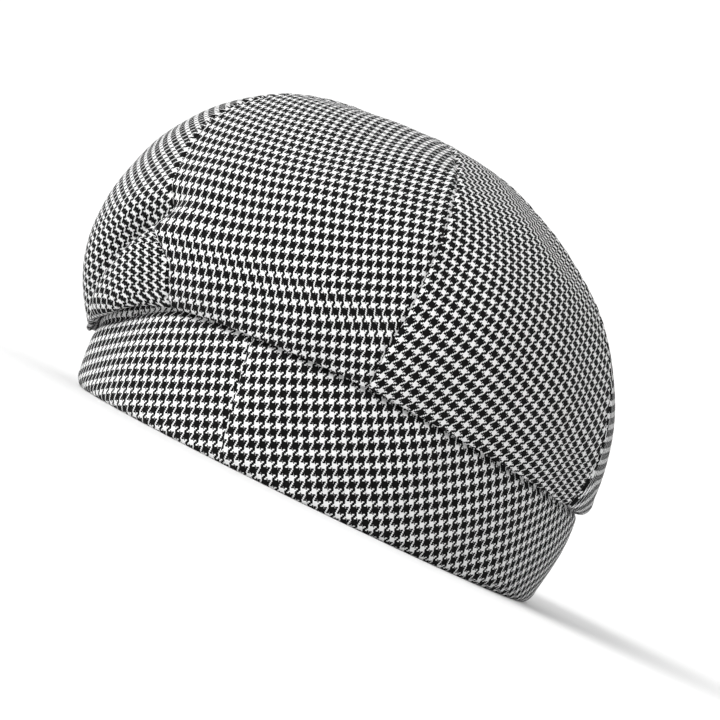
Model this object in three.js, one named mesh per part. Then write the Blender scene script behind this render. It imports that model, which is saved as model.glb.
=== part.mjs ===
import * as THREE from 'three';

// A slouch beanie of woven cloth: six crown gores that fold over a plain band, and a felt lining.
// Sizes are in millimetres. The hat rests on its rim at z = 0 with its front towards -Y.
// An azimuth is in degrees from the front, growing towards +X.

// The rim's outer oval.
const RIM_HALF_WIDTH = 95;
const RIM_HALF_DEPTH = 98;

// The band, a strip that swells a little between its rim and its top edge.
const BAND_HEIGHT = 58;
const BAND_CLOTH = 2.4;
const BAND_SWELL = 2;
const BAND_SWELL_HEIGHT = 30;
const BAND_TOP_ROUND = 0.8;
const BAND_OUTER_ROWS = [48, 38, 28, 18, 10];
const BAND_INNER_ROWS = [28, 42];

// The rim, where the band's cloth turns in round a soft roll and ends in a hem inside.
const ROLL_THICKNESS = 6;
const ROLL_ROUND = 1.8;
const ROLL_TOP = 5;
const ROLL_CORNER = { inward: 0.29, up: 0.72 };
const HEM_HEIGHT = 15.5;
const HEM_ROUND = 1;

// The crown.
const CROWN_HEIGHT = 142.8;
const CROWN_CLOTH = 1.3;
const APEX = new THREE.Vector2(-13, 5);
const TUCK_CLEARANCE = 0.6;
const TUCK_TOP = 57;
const SEAM_GAP = 0.4;
const SEAM_SWING_TOP = 0.1;
const SEAM_SWING_LOW = 1.4;
const TIP_RADIUS = 0.5;
const GORE_SAG = 1.8;
const GORE_SAG_POWER = 1.5;
const SAG_GROWS = { from: 0.1, to: 0.5 };
const SAG_ENDS = { from: 0.8, to: 1.5 };

// The lining.
const LINING_CLOTH = 1.5;
const LINING_CLEARANCE = 0.5;
const LINING_DEPTH = 9;
const LINING_REACH_LOSS = 11;
const LINING_BULGE_RISE = 14;
const LINING_TURN_RISE = 2;
const LINING_TURN_SHARE = 0.4;

// How finely the curved walls are faceted, and the step by which the direction of a face is found.
const EDGE_STEP = 0.01;
const GORE_COLUMNS = 10;
const DOME_ROWS = 10;
const ROLL_ROWS = 5;
const TUCK_ROWS = 4;
const BAND_STEPS = 64;
const LINING_STEPS = 48;
const LINING_WALL_ROWS = 5;
const LINING_DOME_ROWS = 7;

// The crown's shape round the hat. Reach is how far it swells past the rim's oval, at the bulge height.
// The fold is the lowest line of the crown's edge: its distance past the oval and its height.
// Fullness is the power of the dome's curve above the bulge, 2 for an ellipse.
// Roll is how far the cloth turns under below the bulge, from 1 for a parabola to 2 for an ellipse.
// Turn is how far the cloth climbs behind the fold until it lies on the band.
const CROWN_SECTIONS = [
  { azimuth: -135, reach: 17.5, bulge: 61, foldReach: 5.6, fold: 27, fullness: 2.15, roll: 1.3, turn: 6 },
  { azimuth: -92, reach: 21.5, bulge: 62, foldReach: 6, fold: 20.5, fullness: 2.3, roll: 1.1, turn: 7 },
  { azimuth: -68, reach: 19, bulge: 62, foldReach: 8.5, fold: 27.5, fullness: 2.28, roll: 1.4, turn: 9 },
  { azimuth: -56, reach: 17, bulge: 63, foldReach: 7.5, fold: 35.5, fullness: 2.26, roll: 1.6, turn: 8 },
  { azimuth: -44, reach: 14.5, bulge: 65.5, foldReach: 5.4, fold: 41, fullness: 2.2, roll: 1.5, turn: 5.5 },
  { azimuth: -24, reach: 11.6, bulge: 69.5, foldReach: 4.5, fold: 44, fullness: 2.1, roll: 1.25, turn: 4 },
  { azimuth: 0, reach: 10, bulge: 71, foldReach: 4.4, fold: 45.3, fullness: 2.05, roll: 1.2, turn: 4 },
  { azimuth: 32, reach: 8, bulge: 69, foldReach: 4.4, fold: 42.8, fullness: 1.98, roll: 1.25, turn: 4 },
  { azimuth: 62, reach: 5.8, bulge: 60, foldReach: 4.5, fold: 39.5, fullness: 1.9, roll: 1.5, turn: 5 },
  { azimuth: 92, reach: 5.2, bulge: 56, foldReach: 4.6, fold: 39.5, fullness: 1.88, roll: 1.5, turn: 6 },
  { azimuth: 135, reach: 9, bulge: 58, foldReach: 4.8, fold: 35, fullness: 1.95, roll: 1.5, turn: 6 },
  { azimuth: 180, reach: 13.5, bulge: 60, foldReach: 5, fold: 30, fullness: 2.1, roll: 1.4, turn: 6 },
];

// The seams between the gores, by azimuth at the crown's edge and high on the dome.
const CROWN_SEAMS = [
  { low: -114, high: -126 },
  { low: -45, high: -75 },
  { low: 2.5, high: 5 },
  { low: 64, high: 66 },
  { low: 124, high: 122 },
  { low: 185, high: 179 },
];

// The soft valleys pressed into the crown's side: the azimuth of each at its bottom height and how far that
// turns with each millimetre above, how deep and how wide it is, and the height at which it ends.
const CROWN_DENTS = [
  { azimuth: -66, lean: 0.5, depth: 6, halfWidth: 8, bottom: 48, top: 74 },
];

const CLOTH_WHITE_BLACK = new THREE.MeshStandardMaterial({ color: 0x8a8a88, roughness: 0.9, metalness: 0 });
const CLOTH_CHARCOAL = new THREE.MeshStandardMaterial({ color: 0x35302e, roughness: 1, metalness: 0 });

function lerp(a, b, t) {
  return a + (b - a) * t;
}

function turned(degrees) {
  return ((degrees % 360) + 360) % 360;
}

// A column of the section table at any azimuth, along a smooth closed curve through its rows.
function section(column, azimuth) {
  const rows = CROWN_SECTIONS;
  const count = rows.length;
  const at = turned(azimuth - rows[0].azimuth);
  const places = rows.map((row) => row.azimuth - rows[0].azimuth);
  let i = count - 1;
  while (places[i] > at) {
    i -= 1;
  }
  const place = (k) => places[(k + count) % count] + 360 * Math.floor(k / count);
  const value = (k) => rows[(k + count) % count][column];
  const slope = (k) => (value(k + 1) - value(k - 1)) / (place(k + 1) - place(k - 1));
  const span = place(i + 1) - place(i);
  const t = (at - place(i)) / span;
  const rise = value(i + 1) - value(i);
  const bend = t * (1 - t) * ((1 - t) * (slope(i) * span - rise) - t * (slope(i + 1) * span - rise));
  return value(i) + rise * t + bend;
}

// A point past the rim's oval at an azimuth.
function pastRim(azimuth, reach, height) {
  const a = THREE.MathUtils.degToRad(azimuth);
  const oval = new THREE.Vector2(RIM_HALF_WIDTH * Math.sin(a), -RIM_HALF_DEPTH * Math.cos(a));
  oval.setLength(oval.length() + reach);
  return new THREE.Vector3(oval.x, oval.y, height);
}

// How far the band's outer face lies past the rim's oval at a height.
function bandReach(height) {
  const away = (height - BAND_SWELL_HEIGHT) / (BAND_HEIGHT - BAND_SWELL_HEIGHT);
  return BAND_SWELL * (1 - away * away);
}

// How far the dents press the crown in at an azimuth and height.
function dentDepth(azimuth, height) {
  let depth = 0;
  for (const dent of CROWN_DENTS) {
    const middle = dent.azimuth + dent.lean * (height - dent.bottom);
    const across = (turned(azimuth - middle + 180) - 180) / dent.halfWidth;
    const fade = 1 - THREE.MathUtils.smoothstep(height, dent.bottom, dent.top);
    depth += dent.depth * Math.exp(-across * across) * fade;
  }
  return depth;
}

// A dome from the apex, at share 0, to its bulge, at share 1.
function domePoint(azimuth, share, reach, bulge, top, fullness) {
  const angle = (1 - share) * Math.PI / 2;
  const power = 2 / fullness;
  const spread = share === 0 ? 0 : Math.cos(angle) ** power;
  const height = lerp(bulge, top, Math.sin(angle) ** power);
  const edge = pastRim(azimuth, reach - dentDepth(azimuth, height), height);
  return new THREE.Vector3(lerp(APEX.x, edge.x, spread), lerp(APEX.y, edge.y, spread), height);
}

// The crown's outer face: share 0 to 1 is the dome, 1 to 2 the roll to the fold, 2 to 3 the tuck behind it.
function crownPoint(azimuth, share) {
  const reach = section('reach', azimuth);
  const bulge = section('bulge', azimuth);
  const foldReach = section('foldReach', azimuth);
  const fold = section('fold', azimuth);
  if (share <= 1) {
    return domePoint(azimuth, share, reach, bulge, CROWN_HEIGHT, section('fullness', azimuth));
  }
  if (share <= 2) {
    const angle = (share - 1) * Math.PI / 2;
    const power = 2 / section('roll', azimuth);
    const height = lerp(bulge, fold, Math.sin(angle));
    const out = lerp(foldReach, reach, Math.max(Math.cos(angle), 0) ** power);
    return pastRim(azimuth, out - dentDepth(azimuth, height) * Math.cos(angle), height);
  }
  const turnRise = section('turn', azimuth);
  const turnTop = fold + turnRise;
  if (share <= 2.5) {
    const angle = (share - 2) * Math.PI;
    const inner = bandReach(turnTop) + TUCK_CLEARANCE;
    return pastRim(azimuth, lerp(foldReach, inner, Math.sin(angle)), turnTop - turnRise * Math.cos(angle));
  }
  const height = lerp(turnTop, TUCK_TOP, (share - 2.5) * 2);
  return pastRim(azimuth, bandReach(height) + TUCK_CLEARANCE, height);
}

// A seam's azimuth at a share of the crown's outer face.
function seamAzimuth(k, share) {
  const count = CROWN_SEAMS.length;
  const seam = CROWN_SEAMS[k % count];
  const rise = 1 - THREE.MathUtils.smoothstep(share, SEAM_SWING_TOP, SEAM_SWING_LOW);
  return lerp(seam.low, seam.high, rise) + 360 * Math.floor(k / count);
}

// A point of a gore's outer face, with the gore's cloth sagging a little between its seams.
function gorePoint(k, across, share) {
  const from = seamAzimuth(k, share);
  const to = seamAzimuth(k + 1, share);
  const point = crownPoint(lerp(from, to, across), share);
  const below = THREE.MathUtils.smoothstep(share, SAG_GROWS.from, SAG_GROWS.to);
  const above = 1 - THREE.MathUtils.smoothstep(share, SAG_ENDS.from, SAG_ENDS.to);
  const arch = Math.sin(Math.PI * THREE.MathUtils.clamp(across, 0, 1));
  const sag = GORE_SAG * below * above * arch ** GORE_SAG_POWER;
  const away = new THREE.Vector2(point.x - APEX.x, point.y - APEX.y);
  away.setLength(Math.max(away.length() - sag, TIP_RADIUS));
  return new THREE.Vector3(APEX.x + away.x, APEX.y + away.y, point.z - sag / 2);
}

// The outward direction of a face that is given by two shares.
function outward(face, u, v) {
  const step = 0.004;
  const alongU = face(u + step, v).sub(face(u - step, v));
  const alongV = face(u, v + step).sub(face(u, v - step));
  return alongV.cross(alongU).normalize();
}

class Shell {
  constructor() {
    this.points = [];
    this.faces = [];
  }

  add(point) {
    this.points.push(point);
    return this.points.length - 1;
  }

  triangle(a, b, c) {
    this.faces.push(a, b, c);
  }

  quad(a, b, c, d) {
    this.triangle(a, b, c);
    this.triangle(a, c, d);
  }

  mesh(name, material) {
    const geometry = new THREE.BufferGeometry();
    const places = this.points.flatMap((p) => [p.x, p.y, p.z]);
    geometry.setAttribute('position', new THREE.Float32BufferAttribute(places, 3));
    geometry.setIndex(this.faces);
    geometry.computeVertexNormals();
    const mesh = new THREE.Mesh(geometry, material);
    mesh.name = name;
    return mesh;
  }
}

// The shares of the crown's outer face at which a gore has its rows, from its tip to its lower edge.
function goreRows() {
  const rows = [];
  for (let i = 1; i <= DOME_ROWS; i += 1) {
    rows.push(i / DOME_ROWS);
  }
  for (let i = 1; i <= ROLL_ROWS; i += 1) {
    rows.push(1 + i / ROLL_ROWS);
  }
  for (let i = 1; i <= TUCK_ROWS; i += 1) {
    rows.push(2 + i / TUCK_ROWS);
  }
  return rows;
}

function makeGore(k) {
  const shell = new Shell();
  const face = (across, share) => gorePoint(k, across, share);
  const rows = goreRows();
  const outer = [];
  const inner = [];
  for (const share of rows) {
    const left = face(0, share);
    const right = face(1, share);
    const inset = SEAM_GAP / 2 / left.distanceTo(right);
    const outerRow = [];
    const innerRow = [];
    for (let i = 0; i <= GORE_COLUMNS; i += 1) {
      const across = lerp(inset, 1 - inset, i / GORE_COLUMNS);
      const point = face(across, share);
      const into = outward(face, across, Math.min(share, 3 - EDGE_STEP));
      outerRow.push(shell.add(point));
      innerRow.push(shell.add(point.clone().addScaledVector(into, -CROWN_CLOTH)));
    }
    outer.push(outerRow);
    inner.push(innerRow);
  }
  const middle = THREE.MathUtils.degToRad((seamAzimuth(k, 0) + seamAzimuth(k + 1, 0)) / 2);
  const tipX = APEX.x + TIP_RADIUS * Math.sin(middle);
  const tipY = APEX.y - TIP_RADIUS * Math.cos(middle);
  const outerTip = shell.add(new THREE.Vector3(tipX, tipY, CROWN_HEIGHT));
  const innerTip = shell.add(new THREE.Vector3(tipX, tipY, CROWN_HEIGHT - CROWN_CLOTH));
  const last = rows.length - 1;
  for (let i = 0; i < GORE_COLUMNS; i += 1) {
    shell.triangle(outerTip, outer[0][i], outer[0][i + 1]);
    shell.triangle(innerTip, inner[0][i + 1], inner[0][i]);
    for (let j = 0; j < last; j += 1) {
      shell.quad(outer[j][i], outer[j + 1][i], outer[j + 1][i + 1], outer[j][i + 1]);
      shell.quad(inner[j][i], inner[j][i + 1], inner[j + 1][i + 1], inner[j + 1][i]);
    }
    shell.quad(outer[last][i], inner[last][i], inner[last][i + 1], outer[last][i + 1]);
  }
  const end = GORE_COLUMNS;
  shell.quad(outerTip, innerTip, inner[0][0], outer[0][0]);
  shell.quad(innerTip, outerTip, outer[0][end], inner[0][end]);
  for (let j = 0; j < last; j += 1) {
    shell.quad(outer[j][0], inner[j][0], inner[j + 1][0], outer[j + 1][0]);
    shell.quad(inner[j][end], outer[j][end], outer[j + 1][end], inner[j + 1][end]);
  }
  return shell.mesh(`crown_panel_${k + 1}`, CLOTH_WHITE_BLACK.clone());
}

// The band's section from its top edge, down the outer face, round the rim and up the hem to the top edge.
function bandSection() {
  const outline = [];
  const outerHeights = [BAND_HEIGHT - BAND_TOP_ROUND, ...BAND_OUTER_ROWS, ROLL_TOP];
  const corner = { reach: ROLL_ROUND * ROLL_CORNER.inward, height: ROLL_ROUND * ROLL_CORNER.up };
  for (const height of outerHeights) {
    outline.push({ reach: bandReach(height), height });
  }
  outline.push({ reach: bandReach(0) - corner.reach, height: corner.height });
  outline.push({ reach: bandReach(0) - ROLL_ROUND, height: 0 });
  outline.push({ reach: ROLL_ROUND - ROLL_THICKNESS, height: 0 });
  outline.push({ reach: corner.reach - ROLL_THICKNESS, height: corner.height });
  outline.push({ reach: -ROLL_THICKNESS, height: ROLL_TOP });
  outline.push({ reach: -ROLL_THICKNESS, height: HEM_HEIGHT - HEM_ROUND });
  outline.push({ reach: HEM_ROUND - ROLL_THICKNESS, height: HEM_HEIGHT });
  const innerHeights = [HEM_HEIGHT, ...BAND_INNER_ROWS, BAND_HEIGHT];
  for (const height of innerHeights) {
    outline.push({ reach: bandReach(height) - BAND_CLOTH, height });
  }
  outline.push({ reach: bandReach(BAND_HEIGHT) - BAND_TOP_ROUND, height: BAND_HEIGHT });
  return outline;
}

function makeBand() {
  const shell = new Shell();
  const outline = bandSection();
  const rings = [];
  for (let i = 0; i < BAND_STEPS; i += 1) {
    const azimuth = 360 * i / BAND_STEPS;
    rings.push(outline.map((at) => shell.add(pastRim(azimuth, at.reach, at.height))));
  }
  const sides = outline.length;
  for (let i = 0; i < BAND_STEPS; i += 1) {
    const here = rings[i];
    const next = rings[(i + 1) % BAND_STEPS];
    for (let j = 0; j < sides; j += 1) {
      const below = (j + 1) % sides;
      shell.quad(here[j], here[below], next[below], next[j]);
    }
  }
  return shell.mesh('band', CLOTH_WHITE_BLACK.clone());
}

// The lining's outer face: share 0 to 1 is its dome, 1 to 1.4 its turn to the band, 1.4 to 2 its wall.
function liningPoint(azimuth, share) {
  const reach = section('reach', azimuth) - LINING_REACH_LOSS;
  const bulge = section('bulge', azimuth) + LINING_BULGE_RISE;
  const fullness = section('fullness', azimuth);
  if (share <= 1) {
    return domePoint(azimuth, share, reach, bulge, CROWN_HEIGHT - LINING_DEPTH, fullness);
  }
  const turn = BAND_HEIGHT + LINING_TURN_RISE;
  const inside = (height) => bandReach(height) - BAND_CLOTH - LINING_CLEARANCE;
  if (share <= 1 + LINING_TURN_SHARE) {
    const height = lerp(bulge, turn, (share - 1) / LINING_TURN_SHARE);
    const out = THREE.MathUtils.smoothstep(height, turn, bulge);
    return pastRim(azimuth, lerp(inside(BAND_HEIGHT), reach, out), height);
  }
  const wallShare = (share - 1 - LINING_TURN_SHARE) / (1 - LINING_TURN_SHARE);
  const height = lerp(turn, HEM_HEIGHT + LINING_CLEARANCE, wallShare);
  return pastRim(azimuth, inside(Math.min(height, BAND_HEIGHT)), height);
}

function makeLining() {
  const shell = new Shell();
  const face = (turn, share) => liningPoint(360 * turn, share);
  const shares = [];
  for (let i = 1; i <= LINING_DOME_ROWS; i += 1) {
    shares.push(i / LINING_DOME_ROWS);
  }
  for (let i = 1; i <= LINING_WALL_ROWS; i += 1) {
    shares.push(1 + i / LINING_WALL_ROWS);
  }
  const outer = [];
  const inner = [];
  for (const share of shares) {
    const outerRing = [];
    const innerRing = [];
    for (let i = 0; i < LINING_STEPS; i += 1) {
      const point = face(i / LINING_STEPS, share);
      const inward = outward(face, i / LINING_STEPS, Math.min(share, 2 - EDGE_STEP));
      outerRing.push(shell.add(point));
      innerRing.push(shell.add(point.clone().addScaledVector(inward, -LINING_CLOTH)));
    }
    outer.push(outerRing);
    inner.push(innerRing);
  }
  const top = CROWN_HEIGHT - LINING_DEPTH;
  const outerTip = shell.add(new THREE.Vector3(APEX.x, APEX.y, top));
  const innerTip = shell.add(new THREE.Vector3(APEX.x, APEX.y, top - LINING_CLOTH));
  const last = shares.length - 1;
  for (let i = 0; i < LINING_STEPS; i += 1) {
    const n = (i + 1) % LINING_STEPS;
    shell.triangle(outerTip, outer[0][i], outer[0][n]);
    shell.triangle(innerTip, inner[0][n], inner[0][i]);
    for (let j = 0; j < last; j += 1) {
      shell.quad(outer[j][i], outer[j + 1][i], outer[j + 1][n], outer[j][n]);
      shell.quad(inner[j][i], inner[j][n], inner[j + 1][n], inner[j + 1][i]);
    }
    shell.quad(outer[last][i], inner[last][i], inner[last][n], outer[last][n]);
  }
  return shell.mesh('lining', CLOTH_CHARCOAL.clone());
}

const hat = new THREE.Group();
for (let k = 0; k < CROWN_SEAMS.length; k += 1) {
  hat.add(makeGore(k));
}
hat.add(makeBand());
hat.add(makeLining());

// The origin goes under the middle of the hat's own box.
const middle = new THREE.Box3().setFromObject(hat).getCenter(new THREE.Vector3());
for (const piece of hat.children) {
  piece.geometry.translate(-middle.x, -middle.y, 0);
}

export default hat;
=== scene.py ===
import math
from collections import namedtuple

import bpy
import numpy as np
from mathutils import Matrix, Vector


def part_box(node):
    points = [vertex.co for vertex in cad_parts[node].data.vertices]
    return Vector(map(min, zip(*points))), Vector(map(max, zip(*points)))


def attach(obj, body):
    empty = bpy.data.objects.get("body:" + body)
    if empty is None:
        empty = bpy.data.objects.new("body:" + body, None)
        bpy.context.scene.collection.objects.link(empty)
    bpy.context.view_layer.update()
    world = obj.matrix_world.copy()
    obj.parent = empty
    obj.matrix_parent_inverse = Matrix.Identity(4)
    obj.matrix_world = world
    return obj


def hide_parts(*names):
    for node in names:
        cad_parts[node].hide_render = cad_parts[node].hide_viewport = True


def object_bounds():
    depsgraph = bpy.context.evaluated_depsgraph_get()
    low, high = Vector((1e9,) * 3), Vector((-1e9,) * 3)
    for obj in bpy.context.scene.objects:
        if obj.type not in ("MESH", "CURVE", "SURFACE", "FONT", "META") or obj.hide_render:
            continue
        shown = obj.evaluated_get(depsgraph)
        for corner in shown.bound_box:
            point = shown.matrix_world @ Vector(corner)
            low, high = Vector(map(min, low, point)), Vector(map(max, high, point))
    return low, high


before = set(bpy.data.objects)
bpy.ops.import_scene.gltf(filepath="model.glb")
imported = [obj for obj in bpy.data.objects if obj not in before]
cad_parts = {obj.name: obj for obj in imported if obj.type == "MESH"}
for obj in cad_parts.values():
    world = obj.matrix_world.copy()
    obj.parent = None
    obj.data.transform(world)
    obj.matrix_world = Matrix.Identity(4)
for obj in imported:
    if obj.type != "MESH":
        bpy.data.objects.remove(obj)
cad_low, cad_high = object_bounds()

# A slouch beanie of woven houndstooth: six crown gores that fold over a plain band, and a felt lining.
# Lengths are in millimetres until a mesh is made. The front is towards -Y.
# An azimuth is in degrees from the front, growing towards +X.

MM = 0.001

# The band and its rim, sized by the band's box in the frame.
BAND_SWELL = 2.0
BAND_SWELL_HEIGHT = 30.0
BAND_CLOTH = 2.4
BAND_TOP_ROUND = 0.8
BAND_LOW, BAND_HIGH = (np.array(corner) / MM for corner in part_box("band"))
BAND_HEIGHT = BAND_HIGH[2]
RIM_CENTRE = (BAND_LOW + BAND_HIGH)[:2] / 2
RIM_HALF_WIDTH, RIM_HALF_DEPTH = (BAND_HIGH - BAND_LOW)[:2] / 2 - BAND_SWELL

# The rim's soft roll and the hem inside.
ROLL_THICKNESS = 6.0
ROLL_HEIGHT = 6.0
HEM_HEIGHT = 15.5
HEM_ROUND = 1.0
HEM_PLUMPNESS = 0.5
ROLL_FULLNESS = 0.8
RESTING_HEIGHTS = (0.2, 5.0)

# The slanting seam that joins the band's strip to a ring.
JOIN_LOW_AZIMUTH = -19.0
JOIN_HIGH_AZIMUTH = -26.0
JOIN_GROOVE = 0.6
JOIN_HALF_WIDTH = 0.9

# The crease in the band's face along the crown's fold.
CREASE_DEPTH = 1.3
CREASE_HALF_HEIGHT = 1.4

# The crown.
CROWN_HEIGHT = cad_high.z / MM
CROWN_CLOTH = 0.8
FOLD_PRESS = 1.0
APEX = np.array([-13.0, 5.0])
TUCK_CLEARANCE = 0.25
TUCK_TOP = BAND_HEIGHT - 1.0
GORE_SAG = 1.8
GORE_SAG_POWER = 1.5
TIP_SHARE = 0.004

# Shares down the crown's outer face: the bulge, the fold, the end of the turn behind it and the lower edge,
# where the seams swing to the side, and where the gores' sag grows and ends.
BULGE_SHARE = 1
FOLD_SHARE = 2
TURN_SHARE = 2.5
EDGE_SHARE = 3
SEAM_SWING = (0.1, 1.4)
SAG_GROWS = (0.1, 0.5)
SAG_ENDS = (0.8, 1.5)

# The lining.
LINING_CLOTH = 1.5
LINING_CLEARANCE = 0.5
LINING_DEPTH = 9.0
LINING_REACH_LOSS = 11.0
LINING_BULGE_RISE = 14.0
LINING_TURN_RISE = 2.0

# Shares down the lining's outer face: where its turn to the band ends and how long that and the wall are,
# its lower edge, and where its waves grow and end.
LINING_TURN_SHARE = 1.4
LINING_TURN_SPAN = 0.4
LINING_WALL_SPAN = 0.6
LINING_EDGE_SHARE = 2
LINING_WAVES_GROW = (0, 0.2)
LINING_WAVES_END = (0.8, 1.2)

# The seams between the gores: a narrow groove between two low shoulders, and small puckers beside it.
SEAM_GROOVE = 0.7
SEAM_HALF_WIDTH = 0.9
SEAM_SHOULDER = 0.25
SEAM_SHOULDER_AWAY = 2.4
SEAM_SHOULDER_WIDTH = 1.4
PUCKER_DEPTH = 0.12
PUCKER_LENGTH = 8.5
PUCKER_REACH = 5.0
PUCKER_DRIFT = 1.3
PUCKER_DRIFT_LENGTH = 23
SEAM_GAP = 0.05
SEAM_ENDS = (2.0, 2.4)

# Soft unevenness of the worn cloth: its depth and length on the crown, the band and the lining.
CROWN_WAVE = {"depth": 0.4, "length": 42.0, "seed": 11}
BAND_WAVE = {"depth": 0.5, "length": 34.0, "seed": 23}
LINING_WAVE = {"depth": 0.8, "length": 38.0, "seed": 31}
CROWN_WAVES_GROW = (0, 0.15)
CROWN_WAVES_END = (1.5, 2.0)
WAVE_COUNT = 14
WAVE_LENGTHS = (0.7, 1.5)

# How finely the meshes follow the cloth. A gore's rows lie closer at the fold and wider on the hidden tuck.
GORE_CELL = 1.15
GORE_LEAST_COLUMNS = 4
GORE_MOST_COLUMNS = 128
GORE_COLUMN_CROWDING = 0.1
FOLD_ROW_CROWDING = 1.6
FOLD_ROWS_FROM = 1.75
TUCK_ROW_SPREADING = 0.4
BAND_COLUMNS = 480
BAND_COLUMN_CROWDING = 10
BAND_GRAIN_STEPS = 2881
BAND_FACE_ROWS = 100
BAND_RIM_ROWS = 17
BAND_HEM_ROWS = 8
BAND_EDGE_ROWS = 4
BAND_WALL_ROWS = 12
LINING_CELL = 2.2
LINING_LEAST_COLUMNS = 8
LINING_MOST_COLUMNS = 256
LENGTH_STEPS = 1000
WIDTH_STEPS = 128
SPACING_STEPS = 1500
NEAR_EDGE = 0.01

# Where each piece's cloth lies on its chart, a square of side 1. A gore has its outer face, its inner face
# and its cut edges side by side, and the band and the lining are rings.
GORE_CHART_OUTER = {"left": 0.01, "width": 0.80}
GORE_CHART_INNER = {"left": 0.86, "width": 0.13}
GORE_CHART_LOW = 0.02
GORE_CHART_HEIGHT = 0.95
GORE_CHART_SIDES = (0.820, 0.826, 0.832, 0.838)
GORE_CHART_ENDS = (0.004, 0.010, 0.980, 0.986)
GORE_CHART_END_SPAN = (0.02, 0.80)
CHART_MIDDLE = 0.5
BAND_CHART_OUTSIDE = 0.49
BAND_CHART_INSIDE = 0.19
LINING_CHART_SHOWN = {"middle": (0.37, 0.63), "radius": 0.36}
LINING_CHART_HIDDEN = {"middle": (0.87, 0.13), "radius": 0.12}
LINING_CHART_EDGE = (0.122, 0.126)

# The crown's shape round the hat. Reach is how far it swells past the rim's oval, at the bulge height.
# The fold is the lowest line of the crown's edge: its distance past the oval and its height.
# Fullness is the power of the dome's curve above the bulge, 2 for an ellipse.
# Roll is how far the cloth turns under below the bulge, from 1 for a parabola to 2 for an ellipse.
# Turn is how far the cloth climbs behind the fold until it lies on the band.
CROWN_COLUMNS = ("azimuth", "reach", "bulge", "fold_reach", "fold", "fullness", "roll", "turn")
CROWN_SECTIONS = np.array([
    (-135, 17.5, 61, 5.6, 27, 2.15, 1.3, 6),
    (-92, 21.5, 62, 6, 20.5, 2.3, 1.1, 7),
    (-68, 19, 62, 8.5, 27.5, 2.28, 1.4, 9),
    (-56, 17, 63, 7.5, 35.5, 2.26, 1.6, 8),
    (-44, 14.5, 65.5, 5.4, 41, 2.2, 1.5, 5.5),
    (-24, 11.6, 69.5, 4.5, 44, 2.1, 1.25, 4),
    (0, 10, 71, 4.4, 45.3, 2.05, 1.2, 4),
    (32, 8, 69, 4.4, 42.8, 1.98, 1.25, 4),
    (62, 6, 56, 4.5, 39.5, 1.92, 1.9, 5),
    (92, 6.6, 47, 3.8, 38.5, 1.97, 2, 6),
    (135, 9, 56, 4.8, 35, 1.96, 1.7, 6),
    (180, 13.5, 60, 5, 30, 2.1, 1.4, 6),
], float)

# The seams between the gores, by azimuth at the crown's edge and high on the dome.
CROWN_SEAMS = (
    {"low": -114, "high": -126},
    {"low": -45, "high": -75},
    {"low": 2.5, "high": 5},
    {"low": 64, "high": 66},
    {"low": 124, "high": 122},
    {"low": 185, "high": 179},
)

# The soft valley pressed into the crown's side and the ridge before it, which is a valley of depth below 0:
# the azimuth of each at its bottom height and how far that turns with each millimetre above, its depth, how
# wide its front and back slopes are in degrees, and the height at which it ends.
CROWN_DENTS = (
    {"azimuth": -64.5, "lean": 0.5, "depth": 15, "front": 3.6, "back": 6.5, "bottom": 52, "top": 84},
    {"azimuth": -56.5, "lean": 0.5, "depth": -4, "front": 8, "back": 4, "bottom": 52, "top": 80},
)

# The houndstooth's repeat across and up the cloth.
REPEAT_ACROSS = 3.5
REPEAT_UP = 4.35

# How the houndstooth lies on each gore: how far its rows rise to the right in degrees, how much they bow,
# and how far they follow the cloth's length down each column instead of its length down the middle.
GORE_CLOTHS = (
    {"grain": -22, "bow": 0, "own_drop": 0.6},
    {"grain": 14, "bow": 0.0018, "own_drop": 0},
    {"grain": -9, "bow": 0, "own_drop": 0},
    {"grain": 20, "bow": 0, "own_drop": 0},
    {"grain": -8, "bow": 0, "own_drop": 0},
    {"grain": 14, "bow": 0, "own_drop": 0},
)

# How far the band's rows rise to the right in degrees, and how far that sways round the hat.
BAND_GRAIN = 22.7
BAND_GRAIN_SWAY = 10


def smoothstep(value, low, high):
    t = np.clip((value - low) / (high - low), 0, 1)
    return t * t * (3 - 2 * t)


def lerp(a, b, t):
    return a + (b - a) * t


def soft_waves(points, wave):
    """Smooth unevenness over points, with hills about half a wave's length wide."""
    draw = np.random.default_rng(wave["seed"])
    total = np.zeros(points.shape[:-1])
    for _ in range(WAVE_COUNT):
        direction = draw.normal(size=3)
        direction /= np.linalg.norm(direction)
        pace = 2 * math.pi / (wave["length"] * draw.uniform(*WAVE_LENGTHS))
        total += np.sin(points @ direction * pace + draw.uniform(0, 2 * math.pi))
    return wave["depth"] * total * math.sqrt(2 / WAVE_COUNT)


def section(column, azimuth):
    """A column of the crown's table at any azimuth, along a smooth closed curve through its rows."""
    places = CROWN_SECTIONS[:, 0] - CROWN_SECTIONS[0, 0]
    values = CROWN_SECTIONS[:, CROWN_COLUMNS.index(column)]
    count = len(values)
    at = (azimuth - CROWN_SECTIONS[0, 0]) % 360

    def place(k):
        return places[k % count] + 360 * (k // count)

    def slope(k):
        return (values[(k + 1) % count] - values[(k - 1) % count]) / (place(k + 1) - place(k - 1))

    i = np.searchsorted(places, at, side="right") - 1
    span = place(i + 1) - place(i)
    t = (at - place(i)) / span
    rise = values[(i + 1) % count] - values[i % count]
    bend = t * (1 - t) * ((1 - t) * (slope(i) * span - rise) - t * (slope(i + 1) * span - rise))
    return values[i % count] + rise * t + bend


def past_rim(azimuth, reach, height):
    """Points past the rim's oval."""
    a = np.radians(azimuth)
    x = RIM_HALF_WIDTH * np.sin(a)
    y = -RIM_HALF_DEPTH * np.cos(a)
    grown = 1 + reach / np.hypot(x, y)
    return np.stack(np.broadcast_arrays(x * grown, y * grown, height), axis=-1)


def band_reach(height):
    """How far the band's outer face lies past the rim's oval."""
    away = (height - BAND_SWELL_HEIGHT) / (BAND_HEIGHT - BAND_SWELL_HEIGHT)
    return BAND_SWELL * (1 - away * away)


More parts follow.
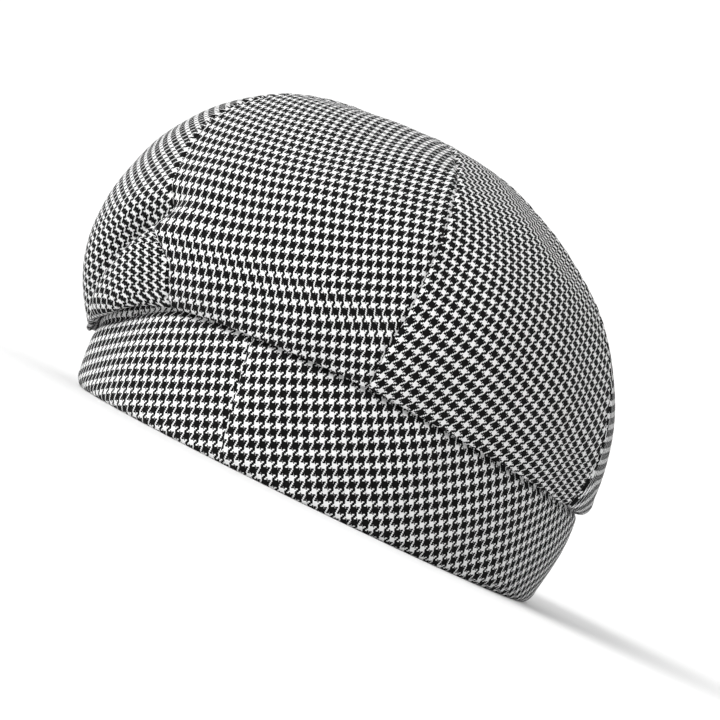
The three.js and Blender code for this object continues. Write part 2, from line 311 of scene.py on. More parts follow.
def dent_depth(azimuth, height):
    """How far the valley and the ridge press the crown in."""
    depth = 0
    for dent in CROWN_DENTS:
        middle = dent["azimuth"] + dent["lean"] * (height - dent["bottom"])
        across = (azimuth - middle + 180) % 360 - 180
        across = across / np.where(across > 0, dent["front"], dent["back"])
        fade = 1 - smoothstep(height, dent["bottom"], dent["top"])
        depth = depth + dent["depth"] * np.exp(-across * across) * fade
    return depth


def dome_point(azimuth, share, reach, bulge, top, fullness):
    """A dome from the apex, at share 0, to its bulge, at share 1."""
    angle = (1 - share) * math.pi / 2
    power = 2 / fullness
    spread = np.cos(angle) ** power
    height = lerp(bulge, top, np.sin(angle) ** power)
    edge = past_rim(azimuth, reach - dent_depth(azimuth, height), height)
    edge[..., :2] = lerp(APEX, edge[..., :2], spread[..., None])
    return edge


def crown_point(azimuth, share):
    """The crown's outer face: its dome, the roll to the fold, the turn behind that and the tuck."""
    reach = section("reach", azimuth)
    bulge = section("bulge", azimuth)
    fold_reach = section("fold_reach", azimuth) - FOLD_PRESS
    fold = section("fold", azimuth)
    fullness = section("fullness", azimuth)
    dome = dome_point(azimuth, np.clip(share, 0, 1), reach, bulge, CROWN_HEIGHT, fullness)

    angle = np.clip(share - BULGE_SHARE, 0, 1) * math.pi / 2
    power = 2 / section("roll", azimuth)
    height = lerp(bulge, fold, np.sin(angle))
    out = lerp(fold_reach, reach, np.cos(angle) ** power) - dent_depth(azimuth, height) * np.cos(angle)
    roll = past_rim(azimuth, out, height)

    turn_rise = section("turn", azimuth)
    turn_top = fold + turn_rise
    angle = np.clip((share - FOLD_SHARE) / (TURN_SHARE - FOLD_SHARE), 0, 1) * math.pi / 2
    inner = band_reach(turn_top) + TUCK_CLEARANCE
    height = turn_top - turn_rise * np.cos(angle)
    turn = past_rim(azimuth, lerp(fold_reach, inner, np.sin(angle)), height)

    tucked = np.clip((share - TURN_SHARE) / (EDGE_SHARE - TURN_SHARE), 0, 1)
    height = lerp(turn_top, TUCK_TOP, tucked)
    tuck = past_rim(azimuth, band_reach(height) + TUCK_CLEARANCE, height)
    at = share[..., None]
    return np.select([at <= BULGE_SHARE, at <= FOLD_SHARE, at <= TURN_SHARE], [dome, roll, turn], tuck)


def seam_azimuth(k, share):
    """The azimuth of the seam at a gore's left, or of the next gore's."""
    count = len(CROWN_SEAMS)
    seam = CROWN_SEAMS[k % count]
    rise = 1 - smoothstep(share, *SEAM_SWING)
    return lerp(seam["low"], seam["high"], rise) + 360 * (k // count)


def gore_point(k, across, share):
    """A gore's outer face, with its cloth sagging a little between its seams."""
    point = crown_point(lerp(seam_azimuth(k, share), seam_azimuth(k + 1, share), across), share)
    fade = smoothstep(share, *SAG_GROWS) * (1 - smoothstep(share, *SAG_ENDS))
    sag = GORE_SAG * fade * np.sin(math.pi * np.clip(across, 0, 1)) ** GORE_SAG_POWER
    away = point[..., :2] - APEX
    length = np.maximum(np.linalg.norm(away, axis=-1), GORE_SAG)
    point[..., :2] = APEX + away * (1 - sag / length)[..., None]
    point[..., 2] -= sag / 2
    return point


def outward(face, u, v):
    """The outward direction of a face that is given by two shares."""
    step = 0.004
    along_u = face(u + step, v) - face(u - step, v)
    along_v = face(u, v + step) - face(u, v - step)
    normal = np.cross(along_v, along_u)
    return normal / np.linalg.norm(normal, axis=-1, keepdims=True)


def path_lengths(points):
    """How far each point of a line lies from its first point."""
    steps = np.linalg.norm(np.diff(points, axis=0), axis=-1)
    return np.concatenate([[0], np.cumsum(steps)])


def row_lengths(grid):
    """The same for each row of a grid of points."""
    steps = np.linalg.norm(np.diff(grid, axis=1), axis=-1)
    return np.concatenate([np.zeros((len(grid), 1)), np.cumsum(steps, axis=1)], axis=1)


def even_shares(line, density, low, high, cell):
    """Shares from low to high at which a line's points are about a cell apart, closer where dense."""
    fine = np.linspace(low, high, SPACING_STEPS)
    lengths = np.concatenate([[0], np.diff(path_lengths(line(fine)))]) * density(fine)
    measure = np.cumsum(lengths)
    rows = round(measure[-1] / cell)
    return np.interp(np.linspace(0, measure[-1], rows + 1), measure, fine)


def columns_for(width, cell, least, most):
    """The columns of a row, doubling as the row grows, so that rows next to each other can be joined."""
    return int(np.clip(2 ** math.ceil(math.log2(max(width, cell) / cell)), least, most))


class Row(namedtuple("Row", "points places flat")):
    """A row of a sheet: its points, their places and the flat coordinates of those."""

    def corners(self, first, end=None, step=1):
        return self.points[first:end:step], self.places[first:end:step]


class Shell:
    """A closed sheet of cloth that is put together from rows of points.
    Each place has flat coordinates on the cloth, in repeats, and a place on the piece's chart."""

    def __init__(self):
        self.points = []
        self.flat = []
        self.chart = []
        self.faces = []
        self.point_count = 0
        self.place_count = 0

    def places(self, points, flat, chart):
        """A row of points that are there already, with places of their own."""
        first = self.place_count
        self.flat.append(flat)
        self.chart.append(chart)
        self.place_count += len(flat)
        return Row(points, np.arange(first, self.place_count), flat)

    def row(self, points, flat, chart, closed=False):
        """Adds a row. A closed row's last place is its first point again."""
        first = self.point_count
        self.points.append(points[:-1] if closed else points)
        self.point_count += len(self.points[-1])
        ids = np.arange(first, self.point_count)
        return self.places(np.append(ids, first) if closed else ids, flat, chart)

    def fill(self, *corners):
        """One face for each step along some rows' corners."""
        self.faces.append(tuple(np.stack(part, axis=-1) for part in zip(*corners)))

    def join(self, upper, lower, inside=False):
        """Faces between two rows that have as many columns, or where one has twice as many."""
        if inside:
            upper, lower = lower, upper
        a, b = upper.corners, lower.corners
        if len(upper.points) == len(lower.points):
            self.fill(a(0, -1), b(0, -1), b(1), a(1))
        elif len(upper.points) < len(lower.points):
            self.fill(a(0, -1), b(0, -1, 2), b(1, None, 2))
            self.fill(a(0, -1), b(1, None, 2), a(1))
            self.fill(a(1), b(1, None, 2), b(2, None, 2))
        else:
            self.fill(a(0, -1, 2), b(0, -1), a(1, None, 2))
            self.fill(a(1, None, 2), b(0, -1), b(1))
            self.fill(a(1, None, 2), b(1), a(2, None, 2))

    def fan(self, tip, row, inside=False):
        """Faces from one point to each step of a row."""
        middle = Row(*(np.repeat(part, len(row.points) - 1, axis=0) for part in tip))
        first, last = row.corners(0, -1), row.corners(1)
        self.fill(middle.corners(0), *((last, first) if inside else (first, last)))

    def piece(self, name, material):
        mesh = bpy.data.meshes.new(name)
        points = np.concatenate(self.points)
        points[:, :2] += RIM_CENTRE
        sizes = np.concatenate([np.full(len(ids), ids.shape[1]) for ids, _ in self.faces])
        mesh.vertices.add(len(points))
        mesh.vertices.foreach_set("co", (points * MM).ravel())
        mesh.loops.add(int(sizes.sum()))
        mesh.loops.foreach_set("vertex_index", np.concatenate([ids.ravel() for ids, _ in self.faces]))
        mesh.polygons.add(len(sizes))
        mesh.polygons.foreach_set("loop_start", np.cumsum(sizes) - sizes)
        corners = np.concatenate([places.ravel() for _, places in self.faces])
        for layer, values in (("Cloth", self.flat), ("OFBake", self.chart)):
            loops = np.concatenate(values)[corners]
            mesh.uv_layers.new(name=layer).data.foreach_set("uv", loops.ravel())
        mesh.update(calc_edges=True)
        mesh.validate()
        mesh.shade_smooth()
        mesh.materials.append(material)
        made = bpy.data.objects.new(name, mesh)
        bpy.context.collection.objects.link(made)
        return made


def on_grain(x, y, grain):
    """Flat places in repeats of the houndstooth, for cloth whose rows rise to the right by the grain."""
    a = np.radians(grain)
    across = x * np.cos(a) + y * np.sin(a)
    up = y * np.cos(a) - x * np.sin(a)
    return np.stack([across / REPEAT_ACROSS, up / REPEAT_UP], axis=-1)


def gore_density(share):
    """How closely a gore's rows lie."""
    at_fold = (share > FOLD_ROWS_FROM) & (share < TURN_SHARE)
    return 1 + FOLD_ROW_CROWDING * at_fold - TUCK_ROW_SPREADING * (share >= TURN_SHARE)


def gore_detail(k, points, from_seam, down, share):
    """How far a gore's face stands out of its plain shape: seam groove, shoulders, puckers and waves."""
    groove = SEAM_GROOVE * np.exp(-((from_seam / SEAM_HALF_WIDTH) ** 2))
    shoulder = SEAM_SHOULDER * np.exp(-(((from_seam - SEAM_SHOULDER_AWAY) / SEAM_SHOULDER_WIDTH) ** 2))
    drift = PUCKER_DRIFT * np.sin(down / PUCKER_DRIFT_LENGTH + k)
    ripple = np.sin(2 * math.pi * down / PUCKER_LENGTH + drift)
    pucker = PUCKER_DEPTH * ripple * np.exp(-from_seam / PUCKER_REACH)
    sewn = (shoulder + pucker - groove) * (1 - smoothstep(share, *SEAM_ENDS))
    loose = smoothstep(share, *CROWN_WAVES_GROW) * (1 - smoothstep(share, *CROWN_WAVES_END))
    return sewn + soft_waves(points, CROWN_WAVE) * loose


def make_gore(k, material):
    """One gore of the crown, with the width, length and area of its flat cut."""
    def face(across, share):
        return gore_point(k, across, share)

    def middle_line(shares):
        return face(np.full_like(shares, 0.5), shares)

    shell = Shell()
    shares = even_shares(middle_line, gore_density, TIP_SHARE, EDGE_SHARE, GORE_CELL)
    fine = np.linspace(0, EDGE_SHARE, EDGE_SHARE * LENGTH_STEPS + 1)
    downs = np.interp(shares, fine, path_lengths(middle_line(fine)))
    fine = np.linspace(0, 1, WIDTH_STEPS + 1)
    grid = face(*np.meshgrid(fine, shares))
    lengths = row_lengths(grid)
    drops = row_lengths(grid.swapaxes(0, 1)).T
    widths = lengths[:, -1]
    columns = [columns_for(width, GORE_CELL, GORE_LEAST_COLUMNS, GORE_MOST_COLUMNS) for width in widths]
    counts = [count + 1 for count in columns]
    across = [gore_columns(count, width) for count, width in zip(counts, widths)]
    from_left = np.concatenate([np.interp(at, fine, length) for at, length in zip(across, lengths)])
    drop = np.concatenate([np.interp(at, fine, length) for at, length in zip(across, drops)])
    across = np.concatenate(across)
    share, down, width = (np.repeat(values, counts) for values in (shares, downs, widths))

    points = face(across, share)
    out = outward(face, across, np.clip(share, TIP_SHARE * 2, EDGE_SHARE - NEAR_EDGE))
    detail = gore_detail(k, points, np.minimum(from_left, width - from_left), down, share)
    points = points + out * detail[:, None]
    x = from_left - width / 2
    cloth = GORE_CLOTHS[k]
    flat = on_grain(x, -lerp(down, drop, cloth["own_drop"]) - cloth["bow"] * x * x, cloth["grain"])
    u = x / max(widths) + CHART_MIDDLE
    v = GORE_CHART_LOW + GORE_CHART_HEIGHT * (1 - down / downs[-1])
    ends = np.cumsum(counts)[:-1]

    def rows(points, chart):
        parts = (points, flat, np.stack([chart["left"] + chart["width"] * u, v], axis=-1))
        return [shell.row(*row) for row in zip(*(np.split(part, ends) for part in parts))]

    outer = rows(points, GORE_CHART_OUTER)
    inner = rows(points - out * CROWN_CLOTH, GORE_CHART_INNER)
    for j in range(len(shares) - 1):
        shell.join(outer[j], outer[j + 1])
        shell.join(inner[j], inner[j + 1], inside=True)
    close_gore(shell, outer, inner)
    piece = shell.piece(f"gore_{k + 1}", material)
    return piece, max(widths) * MM, downs[-1] * MM, flat_area(widths, downs)


def gore_columns(count, width):
    """Where a gore's row has its points, closer to each other beside the seams."""
    t = np.linspace(0, 1, count)
    inset = SEAM_GAP / 2 / width
    return lerp(inset, 1 - inset, t - GORE_COLUMN_CROWDING * np.sin(2 * math.pi * t))


def flat_area(widths, downs):
    """The area in square metres of cloth with these widths at these distances down."""
    return np.sum(np.diff(downs) * (widths[1:] + widths[:-1]) / 2) * MM * MM


def close_gore(shell, outer, inner):
    """The cut edges of a gore's cloth: its two sides, its tip and its lower edge."""
    def edge(rows, column, u):
        points = np.array([row.points[column] for row in rows])
        flat = np.array([row.flat[column] for row in rows])
        v = np.linspace(GORE_CHART_LOW, GORE_CHART_LOW + GORE_CHART_HEIGHT, len(rows))
        return shell.places(points, flat, np.stack([np.full_like(v, u), v], axis=-1))

    def end(row, v):
        u = np.linspace(*GORE_CHART_END_SPAN, len(row.points))
        return shell.places(row.points, row.flat, np.stack([u, np.full_like(u, v)], axis=-1))

    sides = GORE_CHART_SIDES
    ends = GORE_CHART_ENDS
    shell.join(edge(outer, 0, sides[0]), edge(inner, 0, sides[1]))
    shell.join(edge(inner, -1, sides[2]), edge(outer, -1, sides[3]))
    shell.join(end(outer[-1], ends[0]), end(inner[-1], ends[1]))
    shell.join(end(inner[0], ends[2]), end(outer[0], ends[3]))


def band_outline():
    """The band's closed section, as reach and height: down the outer face, round the rim and up inside."""
    heights = np.linspace(BAND_HEIGHT - BAND_TOP_ROUND, ROLL_HEIGHT, BAND_FACE_ROWS)
    outer = np.stack([band_reach(heights), heights], axis=-1)
    edge = band_reach(ROLL_HEIGHT)
    middle = (edge - ROLL_THICKNESS) / 2
    half = (edge + ROLL_THICKNESS) / 2
    angle = np.linspace(0, math.pi, BAND_RIM_ROWS + 1)[1:]
    roll_drop = np.sin(angle) ** ROLL_FULLNESS
    roll = np.stack([middle + half * np.cos(angle), ROLL_HEIGHT * (1 - roll_drop)], axis=-1)
    heights = np.linspace(ROLL_HEIGHT, HEM_HEIGHT - HEM_ROUND, BAND_HEM_ROWS + 1)[1:]
    plump = np.sin(math.pi * (heights - ROLL_HEIGHT) / (HEM_HEIGHT - HEM_ROUND - ROLL_HEIGHT))
    hem = np.stack([-ROLL_THICKNESS - HEM_PLUMPNESS * plump, heights], axis=-1)
    angle = np.linspace(0, math.pi / 2, BAND_EDGE_ROWS + 1)[1:]
    top = np.stack([
        HEM_ROUND * (1 - np.cos(angle)) - ROLL_THICKNESS,
        HEM_HEIGHT - HEM_ROUND * (1 - np.sin(angle)),
    ], axis=-1)
    heights = np.linspace(HEM_HEIGHT, BAND_HEIGHT, BAND_WALL_ROWS)
    wall = np.stack([band_reach(heights) - BAND_CLOTH, heights], axis=-1)
    lip = np.array([[band_reach(BAND_HEIGHT) - BAND_TOP_ROUND, BAND_HEIGHT]])
    return np.concatenate([outer, roll, hem, top, wall, lip])


def band_grain():
    """The band's rows round the hat: azimuths, lengths round the rim, the grain, and how far the rows have
    gone across and up the cloth by each azimuth."""
    azimuth = np.linspace(-180, 540, BAND_GRAIN_STEPS)
    lengths = path_lengths(past_rim(azimuth, 0, 0))
    grain = np.radians(BAND_GRAIN + BAND_GRAIN_SWAY * np.sin(np.radians(azimuth - JOIN_HIGH_AZIMUTH)))
    across = np.cumsum(np.cos(grain) * np.gradient(lengths))
    up = np.cumsum(np.sin(grain) * np.gradient(lengths))
    return azimuth, lengths, grain, across, up


def band_detail(points, azimuth, height, from_join, on_face):
    """How far the band's cloth stands out of its plain shape: waves, the join's groove and the crease."""
    detail = soft_waves(points, BAND_WAVE)
    detail -= JOIN_GROOVE * np.exp(-((from_join / JOIN_HALF_WIDTH) ** 2))
    detail *= smoothstep(height, *RESTING_HEIGHTS)
    if on_face:
        from_fold = (height - section("fold", azimuth)) / CREASE_HALF_HEIGHT
        detail -= CREASE_DEPTH * np.exp(-from_fold * from_fold)
    return detail


def make_band(material):
    """The band, with the length and width of its strip before it was joined to a ring."""
    shell = Shell()
    outline = band_outline()
    downs = path_lengths(outline)
    total = path_lengths(np.concatenate([outline, outline[:1]]))[-1]
    turns = np.linspace(0, 360, BAND_COLUMNS + 1)
    turns = turns - BAND_COLUMN_CROWDING * np.sin(np.radians(turns))
    around = np.stack([np.sin(np.radians(turns)), np.cos(np.radians(turns))], axis=-1)
    fine, fine_lengths, fine_grain, fine_across, fine_up = band_grain()
    normals = np.stack([-np.gradient(outline[:, 1]), np.gradient(outline[:, 0])], axis=-1)
    normals /= np.linalg.norm(normals, axis=-1, keepdims=True)
    rows = []
    for k, ((reach, height), (lean, rise), down) in enumerate(zip(outline, normals, downs)):
        azimuth = turns + lerp(JOIN_LOW_AZIMUTH, JOIN_HIGH_AZIMUTH, height / BAND_HEIGHT)
        points = past_rim(azimuth, reach, height)
        x = np.interp(azimuth, fine, fine_lengths)
        from_join = np.minimum(x - x[0], x[-1] - x)
        detail = band_detail(points, azimuth, height, from_join, k < BAND_FACE_ROWS)
        out = past_rim(azimuth, reach + 1, height) - points
        points = points + out * (detail * lean)[:, None]
        points[:, 2] += detail * rise
        grain = np.interp(azimuth, fine, fine_grain)
        across = np.interp(azimuth, fine, fine_across) - down * np.sin(grain)
        up = -down * np.cos(grain) - np.interp(azimuth, fine, fine_up)
        flat = np.stack([across / REPEAT_ACROSS, up / REPEAT_UP], axis=-1)
        radius = lerp(BAND_CHART_OUTSIDE, BAND_CHART_INSIDE, down / total)
        rows.append(shell.row(points, flat, CHART_MIDDLE + radius * around, closed=True))
    for k in range(len(rows) - 1):
        shell.join(rows[k], rows[k + 1])
    last = CHART_MIDDLE + BAND_CHART_INSIDE * around
    shell.join(rows[-1], shell.places(rows[0].points, rows[0].flat, last))
    strip_length = path_lengths(past_rim(turns, 0, 0))[-1]
    hem_edge = BAND_FACE_ROWS + BAND_RIM_ROWS + BAND_HEM_ROWS + BAND_EDGE_ROWS - 1
    return shell.piece("band_strip", material), strip_length * MM, downs[hem_edge] * MM


def lining_point(azimuth, share):
    """The lining's outer face: its dome, its turn to the band and its wall inside the band."""
    reach = section("reach", azimuth) - LINING_REACH_LOSS
    bulge = section("bulge", azimuth) + LINING_BULGE_RISE
    top = CROWN_HEIGHT - LINING_DEPTH
    dome = dome_point(azimuth, np.clip(share, 0, 1), reach, bulge, top, section("fullness", azimuth))

    def inside(height):
        return band_reach(height) - BAND_CLOTH - LINING_CLEARANCE

    turn = BAND_HEIGHT + LINING_TURN_RISE
    height = lerp(bulge, turn, np.clip((share - BULGE_SHARE) / LINING_TURN_SPAN, 0, 1))
    out = smoothstep(height, turn, bulge)
    bend = past_rim(azimuth, lerp(inside(BAND_HEIGHT), reach, out), height)
    fallen = np.clip((share - LINING_TURN_SHARE) / LINING_WALL_SPAN, 0, 1)
    height = lerp(turn, HEM_HEIGHT + LINING_CLEARANCE, fallen)
    wall = past_rim(azimuth, inside(np.minimum(height, BAND_HEIGHT)), height)
    at = share[..., None]
    return np.select([at <= BULGE_SHARE, at <= LINING_TURN_SHARE], [dome, bend], wall)


def make_lining(material):
    """The lining, with the width, length and area of its cloth laid flat."""
    def face(turn, share):
        return lining_point(turn * 360, share)

    def front_line(shares):
        return face(np.zeros_like(shares), shares)

    def ring(radius, turn, chart):
        angle = turn * 2 * math.pi
        return np.array(chart["middle"]) + radius * np.stack([np.sin(angle), np.cos(angle)], axis=-1)

    shell = Shell()
    shares = even_shares(front_line, np.ones_like, TIP_SHARE * 2, LINING_EDGE_SHARE, LINING_CELL)
    fine = np.linspace(0, LINING_EDGE_SHARE, LINING_EDGE_SHARE * LENGTH_STEPS + 1)
    downs = np.interp(shares, fine, path_lengths(front_line(fine)))
    widths = row_lengths(face(*np.meshgrid(np.linspace(0, 1, 2 * WIDTH_STEPS + 1), shares)))[:, -1]
    hidden = LINING_CHART_HIDDEN
    shown = LINING_CHART_SHOWN
    outer = []
    inner = []
    for share, down, width in zip(shares, downs, widths):
        columns = columns_for(width, LINING_CELL, LINING_LEAST_COLUMNS, LINING_MOST_COLUMNS)
        turn = np.linspace(0, 1, columns + 1)
        at = np.full_like(turn, share)
        points = face(turn, at)
        out = outward(face, turn, np.clip(at, TIP_SHARE * 4, LINING_EDGE_SHARE - NEAR_EDGE))
        loose = smoothstep(at, *LINING_WAVES_GROW) * (1 - smoothstep(at, *LINING_WAVES_END))
        points = points - out * (np.abs(soft_waves(points, LINING_WAVE)) * loose)[:, None]
        flat = np.stack([turn * width, np.full_like(turn, -down)], axis=-1)
        part = down / downs[-1]
        chart = ring(hidden["radius"] * part, turn, hidden)
        outer.append(shell.row(points, flat, chart, closed=True))
        chart = ring(shown["radius"] * part, turn, shown)
        inner.append(shell.row(points - out * LINING_CLOTH, flat, chart, closed=True))
    for j in range(len(shares) - 1):
        shell.join(outer[j], outer[j + 1])
        shell.join(inner[j], inner[j + 1], inside=True)
    top = np.array([[*APEX, CROWN_HEIGHT - LINING_DEPTH]])
    shell.fan(shell.row(top, flat[:1] * 0, np.array([hidden["middle"]])), outer[0])
    top = top - np.array([0, 0, LINING_CLOTH])
    shell.fan(shell.row(top, flat[:1] * 0, np.array([shown["middle"]])), inner[0], inside=True)
    low_outer = shell.places(outer[-1].points, flat, ring(LINING_CHART_EDGE[0], turn, hidden))
    low_inner = shell.places(inner[-1].points, flat, ring(LINING_CHART_EDGE[1], turn, hidden))
    shell.join(low_outer, low_inner)
    piece = shell.piece("felt_lining", material)
    return piece, max(widths) * MM, downs[-1] * MM, flat_area(widths, downs)


class Wire:
    """A socket of a node tree. Arithmetic on it adds Math nodes to the same tree."""

    def __init__(self, tree, socket=None):
        self.tree = tree
        self.socket = socket

    def node(self, kind, settings, sockets, out=0):
        """Adds a node: its settings come first, then the values or links of its sockets."""
        made = self.tree.nodes.new(kind)
        for name, value in settings.items():
            setattr(made, name, value)
        for key, value in sockets.items():
            if isinstance(value, Wire):
                self.tree.links.new(value.socket, made.inputs[key])
            else:
                made.inputs[key].default_value = value
        return Wire(self.tree, made.outputs[out] if len(made.outputs) else None)

    def output(self, name):
        """Another output of the same node."""
        return Wire(self.tree, self.socket.node.outputs[name])

    def math(self, operation, *values):
        return self.node("ShaderNodeMath", {"operation": operation}, dict(enumerate(values)))

    def __add__(self, other):
        return self.math("ADD", self, other)

    def __radd__(self, other):
        return self.math("ADD", other, self)

    def __sub__(self, other):
        return self.math("SUBTRACT", self, other)

    def __rsub__(self, other):
        return self.math("SUBTRACT", other, self)

    def __mul__(self, other):
        return self.math("MULTIPLY", self, other)

    def __rmul__(self, other):
        return self.math("MULTIPLY", other, self)

    def __lt__(self, other):
        return self.math("LESS_THAN", self, other)

    def __mod__(self, other):
        return self.math("FLOORED_MODULO", self, other)

    def floor(self):
        return self.math("FLOOR", self)

    def fract(self):
        return self.math("FRACT", self)

    def choose(self, no, yes):
        """The second value where this mask is 1, and the first where it is 0."""
        return no + (yes - no) * self

    def blend(self, no, yes):
        """The same for colours, by the Mix node's factor and colour sockets."""
        settings = {"data_type": "RGBA", "clamp_factor": True}
        return self.node("ShaderNodeMix", settings, {0: self, 6: no, 7: yes}, out=2)

    def noise(self, scale, detail):
        """Noise over the object's own coordinates."""
        place = self.node("ShaderNodeTexCoord", {}, {}, out="Object")
        return self.node("ShaderNodeTexNoise", {}, {"Vector": place, "Scale": scale, "Detail": detail})


def grey(value):
    return (value, value, value, 1.0)


def new_material(name):
    material = bpy.data.materials.new(name)
    material.use_nodes = True
    material.node_tree.nodes.clear()
    return material, Wire(material.node_tree)


CLOTH_GLOSS = 0.1
SHEEN_ROUGHNESS = 0.5


def finish_material(start, colour, height, depth, roughness, sheen):
    """Matt cloth of a colour, with its threads or fibres raised by a height."""
    bump = start.node("ShaderNodeBump", {}, {"Strength": 1.0, "Distance": depth, "Height": height})
    skin = start.node("ShaderNodeBsdfPrincipled", {}, {
        "Base Color": colour,
        "Roughness": roughness,
        "Specular IOR Level": CLOTH_GLOSS,
        "Sheen Weight": sheen,
        "Sheen Roughness": SHEEN_ROUGHNESS,
        "Normal": bump,
    })
    start.node("ShaderNodeOutputMaterial", {}, {"Surface": skin})


# The houndstooth has as many dark as white threads in a repeat. The dark ones are fuller: they take up more
# of the repeat, and where they cross white ones they spread by a part of a thread, in small steps.
HALF_THREADS = 4
DARK_SHARE = 0.575
DARK_SPREAD = 0.6
THREAD_STEPS = 5
TWILL_START = 0.5
YARN_WOBBLE = 0.07
YARN_HEIGHT = 0.12
WHITE_YARN = 0.84
BLACK_YARN = 0.003
WHITE_UNEVENNESS = 0.1
BLACK_UNEVENNESS = 0.5
WORN_SHADE = 0.12
FIBRE_HEIGHT = 0.5
HOUNDSTOOTH_ROUGHNESS = 0.9
HOUNDSTOOTH_SHEEN = 0.02

# Noises by how many waves there are to a metre, and how much finer detail they have.
YARN_FIBRES = {"scale": 1400, "detail": 2}
YARN_BENDS = {"scale": 650, "detail": 1}
WORN_PATCHES = {"scale": 60, "detail": 2}
FELT_FIBRES = {"scale": 900, "detail": 4}
FELT_TUFTS = {"scale": 380, "detail": 3}
FELT_PATCHES = {"scale": 45, "detail": 2}
FLOOR_PATCHES = {"scale": 3, "detail": 2}


def make_houndstooth():
    """Woven cloth: four dark and four white threads each way in a two and two twill."""
    material, start = new_material("houndstooth_cloth")
    fibres = start.noise(**YARN_FIBRES)
    wobble = (start.noise(**YARN_BENDS) - 0.5) * YARN_WOBBLE
    cloth = start.node("ShaderNodeUVMap", {"uv_map": "Cloth"}, {})
    across = start.node("ShaderNodeSeparateXYZ", {}, {"Vector": cloth}, out="X")
    up = across.output("Y")

    def threads(along):
        """Where the dark threads are, and a count of threads through the repeat."""
        dark = along < DARK_SHARE
        white = (along - DARK_SHARE) * (HALF_THREADS / (1 - DARK_SHARE)) + HALF_THREADS
        return dark, dark.choose(white, along * (HALF_THREADS / DARK_SHARE))

    def roundness(thread):
        side = thread.fract() * 2 - 1
        return 1 - side * side

    def yarn(shade, unevenness):
        return fibres.blend(grey(shade * (1 - unevenness)), grey(shade * (1 + unevenness)))

    dark_warp, warp = threads((across + wobble).fract())
    dark_weft, weft = threads((up + wobble).fract())
    spread = (dark_warp - dark_weft) * DARK_SPREAD
    step = (warp * THREAD_STEPS).floor() * (1 / THREAD_STEPS) - weft.floor()
    twill = (step + spread * 0.5 + TWILL_START) % HALF_THREADS
    warp_up = twill < (spread + HALF_THREADS / 2)
    dark = warp_up.choose(dark_weft, dark_warp)
    white = yarn(WHITE_YARN, WHITE_UNEVENNESS)
    black = yarn(BLACK_YARN, BLACK_UNEVENNESS)
    colour = (start.noise(**WORN_PATCHES) * WORN_SHADE).blend(dark.blend(white, black), grey(0.0))
    height = warp_up.choose(roundness(weft), roundness(warp)) + fibres * FIBRE_HEIGHT
    finish_material(start, colour, height, YARN_HEIGHT * MM, HOUNDSTOOTH_ROUGHNESS, HOUNDSTOOTH_SHEEN)
    return material


FELT_DARK = (0.050, 0.044, 0.042, 1.0)
FELT_PALE = (0.230, 0.207, 0.198, 1.0)
FELT_SHADE = (0.060, 0.054, 0.052, 1.0)
FELT_SHADE_SHARE = 0.35
FELT_MOTTLE = 2.2
FELT_HEIGHT = 0.7
FELT_ROUGHNESS = 0.95
FELT_SHEEN = 0.2


def make_felt():
    """Charcoal felt: short matted fibres, mottled."""
    material, start = new_material("lining_felt")
    fibres = start.noise(**FELT_FIBRES)
    tufts = start.noise(**FELT_TUFTS)
    mottle = ((fibres + tufts) * 0.5 - 0.5) * FELT_MOTTLE + 0.5
    colour = mottle.blend(FELT_DARK, FELT_PALE)
    colour = (start.noise(**FELT_PATCHES) * FELT_SHADE_SHARE).blend(colour, FELT_SHADE)
    finish_material(start, colour, mottle, FELT_HEIGHT * MM, FELT_ROUGHNESS, FELT_SHEEN)
    return material


# The camera stands at the photo's side and lean, just above the floor.
# Lengths here are in metres, but the sensor's is in millimetres.
VIEW_DISTANCE = 1.0
VIEW_WIDTH = 0.2736
VIEW_HEIGHT = 0.034
VIEW_LEAN = math.radians(26)
SENSOR_WIDTH = 36
VIEW_ASIDE = -0.0023
VIEW_MIDDLE_HEIGHT = 0.055
VIEW_MIDDLE = Vector((RIM_CENTRE[0] * MM + VIEW_ASIDE, RIM_CENTRE[1] * MM, VIEW_MIDDLE_HEIGHT))


def make_camera():
    data = bpy.data.cameras.new("camera")
    data.sensor_width = SENSOR_WIDTH
    data.lens = SENSOR_WIDTH * VIEW_DISTANCE / VIEW_WIDTH
    camera = bpy.data.objects.new("camera", data)
    bpy.context.collection.objects.link(camera)
    place = VIEW_MIDDLE + Vector((0, -VIEW_DISTANCE, 0))
    place.z = VIEW_HEIGHT
    ahead = (VIEW_MIDDLE - place).normalized()
    level = Vector((1, 0, 0))
    upright = level.cross(ahead)
    right = level * math.cos(VIEW_LEAN) + upright * math.sin(VIEW_LEAN)
    above = upright * math.cos(VIEW_LEAN) - level * math.sin(VIEW_LEAN)
    turn = Matrix((right, above, -ahead)).transposed().to_4x4()
    camera.matrix_world = Matrix.Translation(place) @ turn
    bpy.context.scene.camera = camera


FLOOR_REACH = 40.0
FLOOR_SHADES = (0.86, 0.88)
FLOOR_ROUGHNESS = 0.9


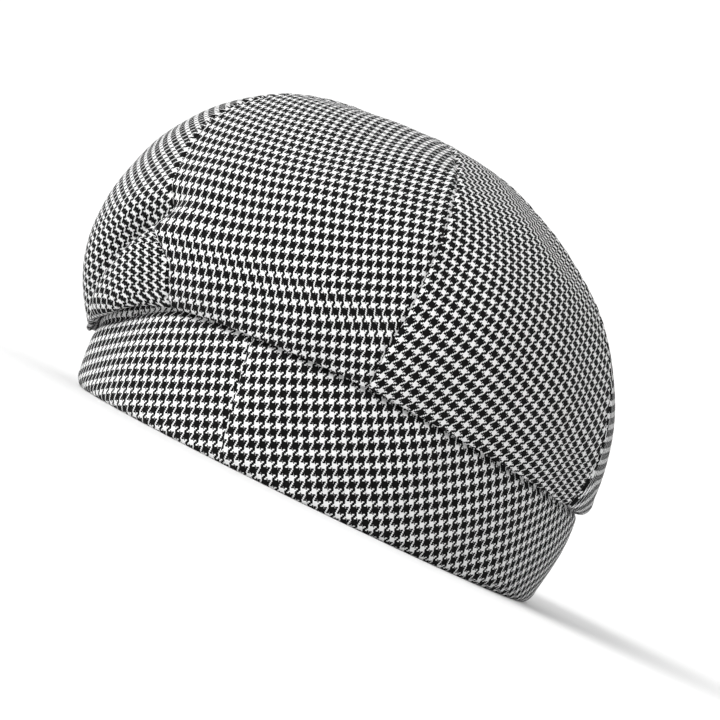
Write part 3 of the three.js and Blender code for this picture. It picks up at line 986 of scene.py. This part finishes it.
def make_floor():
    mesh = bpy.data.meshes.new("floor")
    corners = [(x * FLOOR_REACH, y * FLOOR_REACH, 0) for x, y in ((-1, -1), (1, -1), (1, 1), (-1, 1))]
    mesh.from_pydata(corners, [], [(0, 1, 2, 3)])
    floor = bpy.data.objects.new("floor", mesh)
    bpy.context.collection.objects.link(floor)
    material, start = new_material("floor_white")
    colour = start.noise(**FLOOR_PATCHES).blend(*(grey(shade) for shade in FLOOR_SHADES))
    skin = start.node("ShaderNodeBsdfPrincipled", {}, {"Base Color": colour, "Roughness": FLOOR_ROUGHNESS})
    start.node("ShaderNodeOutputMaterial", {}, {"Surface": skin})
    mesh.materials.append(material)


# The studio: soft light all round, a white backdrop behind the hat, and a broad lamp from the left.
SOFT_LIGHT = 0.8
BACKDROP_LIGHT = 1.1
BACKDROP_EDGES = (0.6, 0.8)
KEY_DIRECTION = Vector((1.4, 0.95, -0.9))
KEY_STRENGTH = 3.1
KEY_SPREAD = math.radians(50)


def make_studio():
    world = bpy.data.worlds.new("studio")
    bpy.context.scene.world = world
    world.use_nodes = True
    world.node_tree.nodes.clear()
    start = Wire(world.node_tree)
    direction = start.node("ShaderNodeTexCoord", {}, {}, out="Generated")
    behind = start.node("ShaderNodeSeparateXYZ", {}, {"Vector": direction}, out="Y")
    light = start.node("ShaderNodeMapRange", {"interpolation_type": "SMOOTHSTEP"}, {
        "Value": behind,
        "From Min": BACKDROP_EDGES[0],
        "From Max": BACKDROP_EDGES[1],
        "To Min": SOFT_LIGHT,
        "To Max": BACKDROP_LIGHT,
    })
    sky = start.node("ShaderNodeBackground", {}, {"Color": grey(1.0), "Strength": light})
    start.node("ShaderNodeOutputWorld", {}, {"Surface": sky})
    data = bpy.data.lights.new("key", "SUN")
    data.energy = KEY_STRENGTH
    data.angle = KEY_SPREAD
    key = bpy.data.objects.new("key", data)
    key.rotation_mode = "QUATERNION"
    key.rotation_quaternion = KEY_DIRECTION.to_track_quat("-Z", "Y")
    bpy.context.collection.objects.link(key)
    view = bpy.context.scene.view_settings
    view.view_transform = "Standard"
    view.look = "None"


def main():
    houndstooth = make_houndstooth()
    felt = make_felt()
    for k in range(len(CROWN_SEAMS)):
        gore, width, length, area = make_gore(k, houndstooth)
        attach(gore, "root")
        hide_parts(f"crown_panel_{k + 1}")
    band, length, width = make_band(houndstooth)
    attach(band, "root")
    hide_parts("band")
    lining, width, length, area = make_lining(felt)
    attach(lining, "root")
    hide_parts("lining")
    make_floor()
    make_studio()
    make_camera()


main()
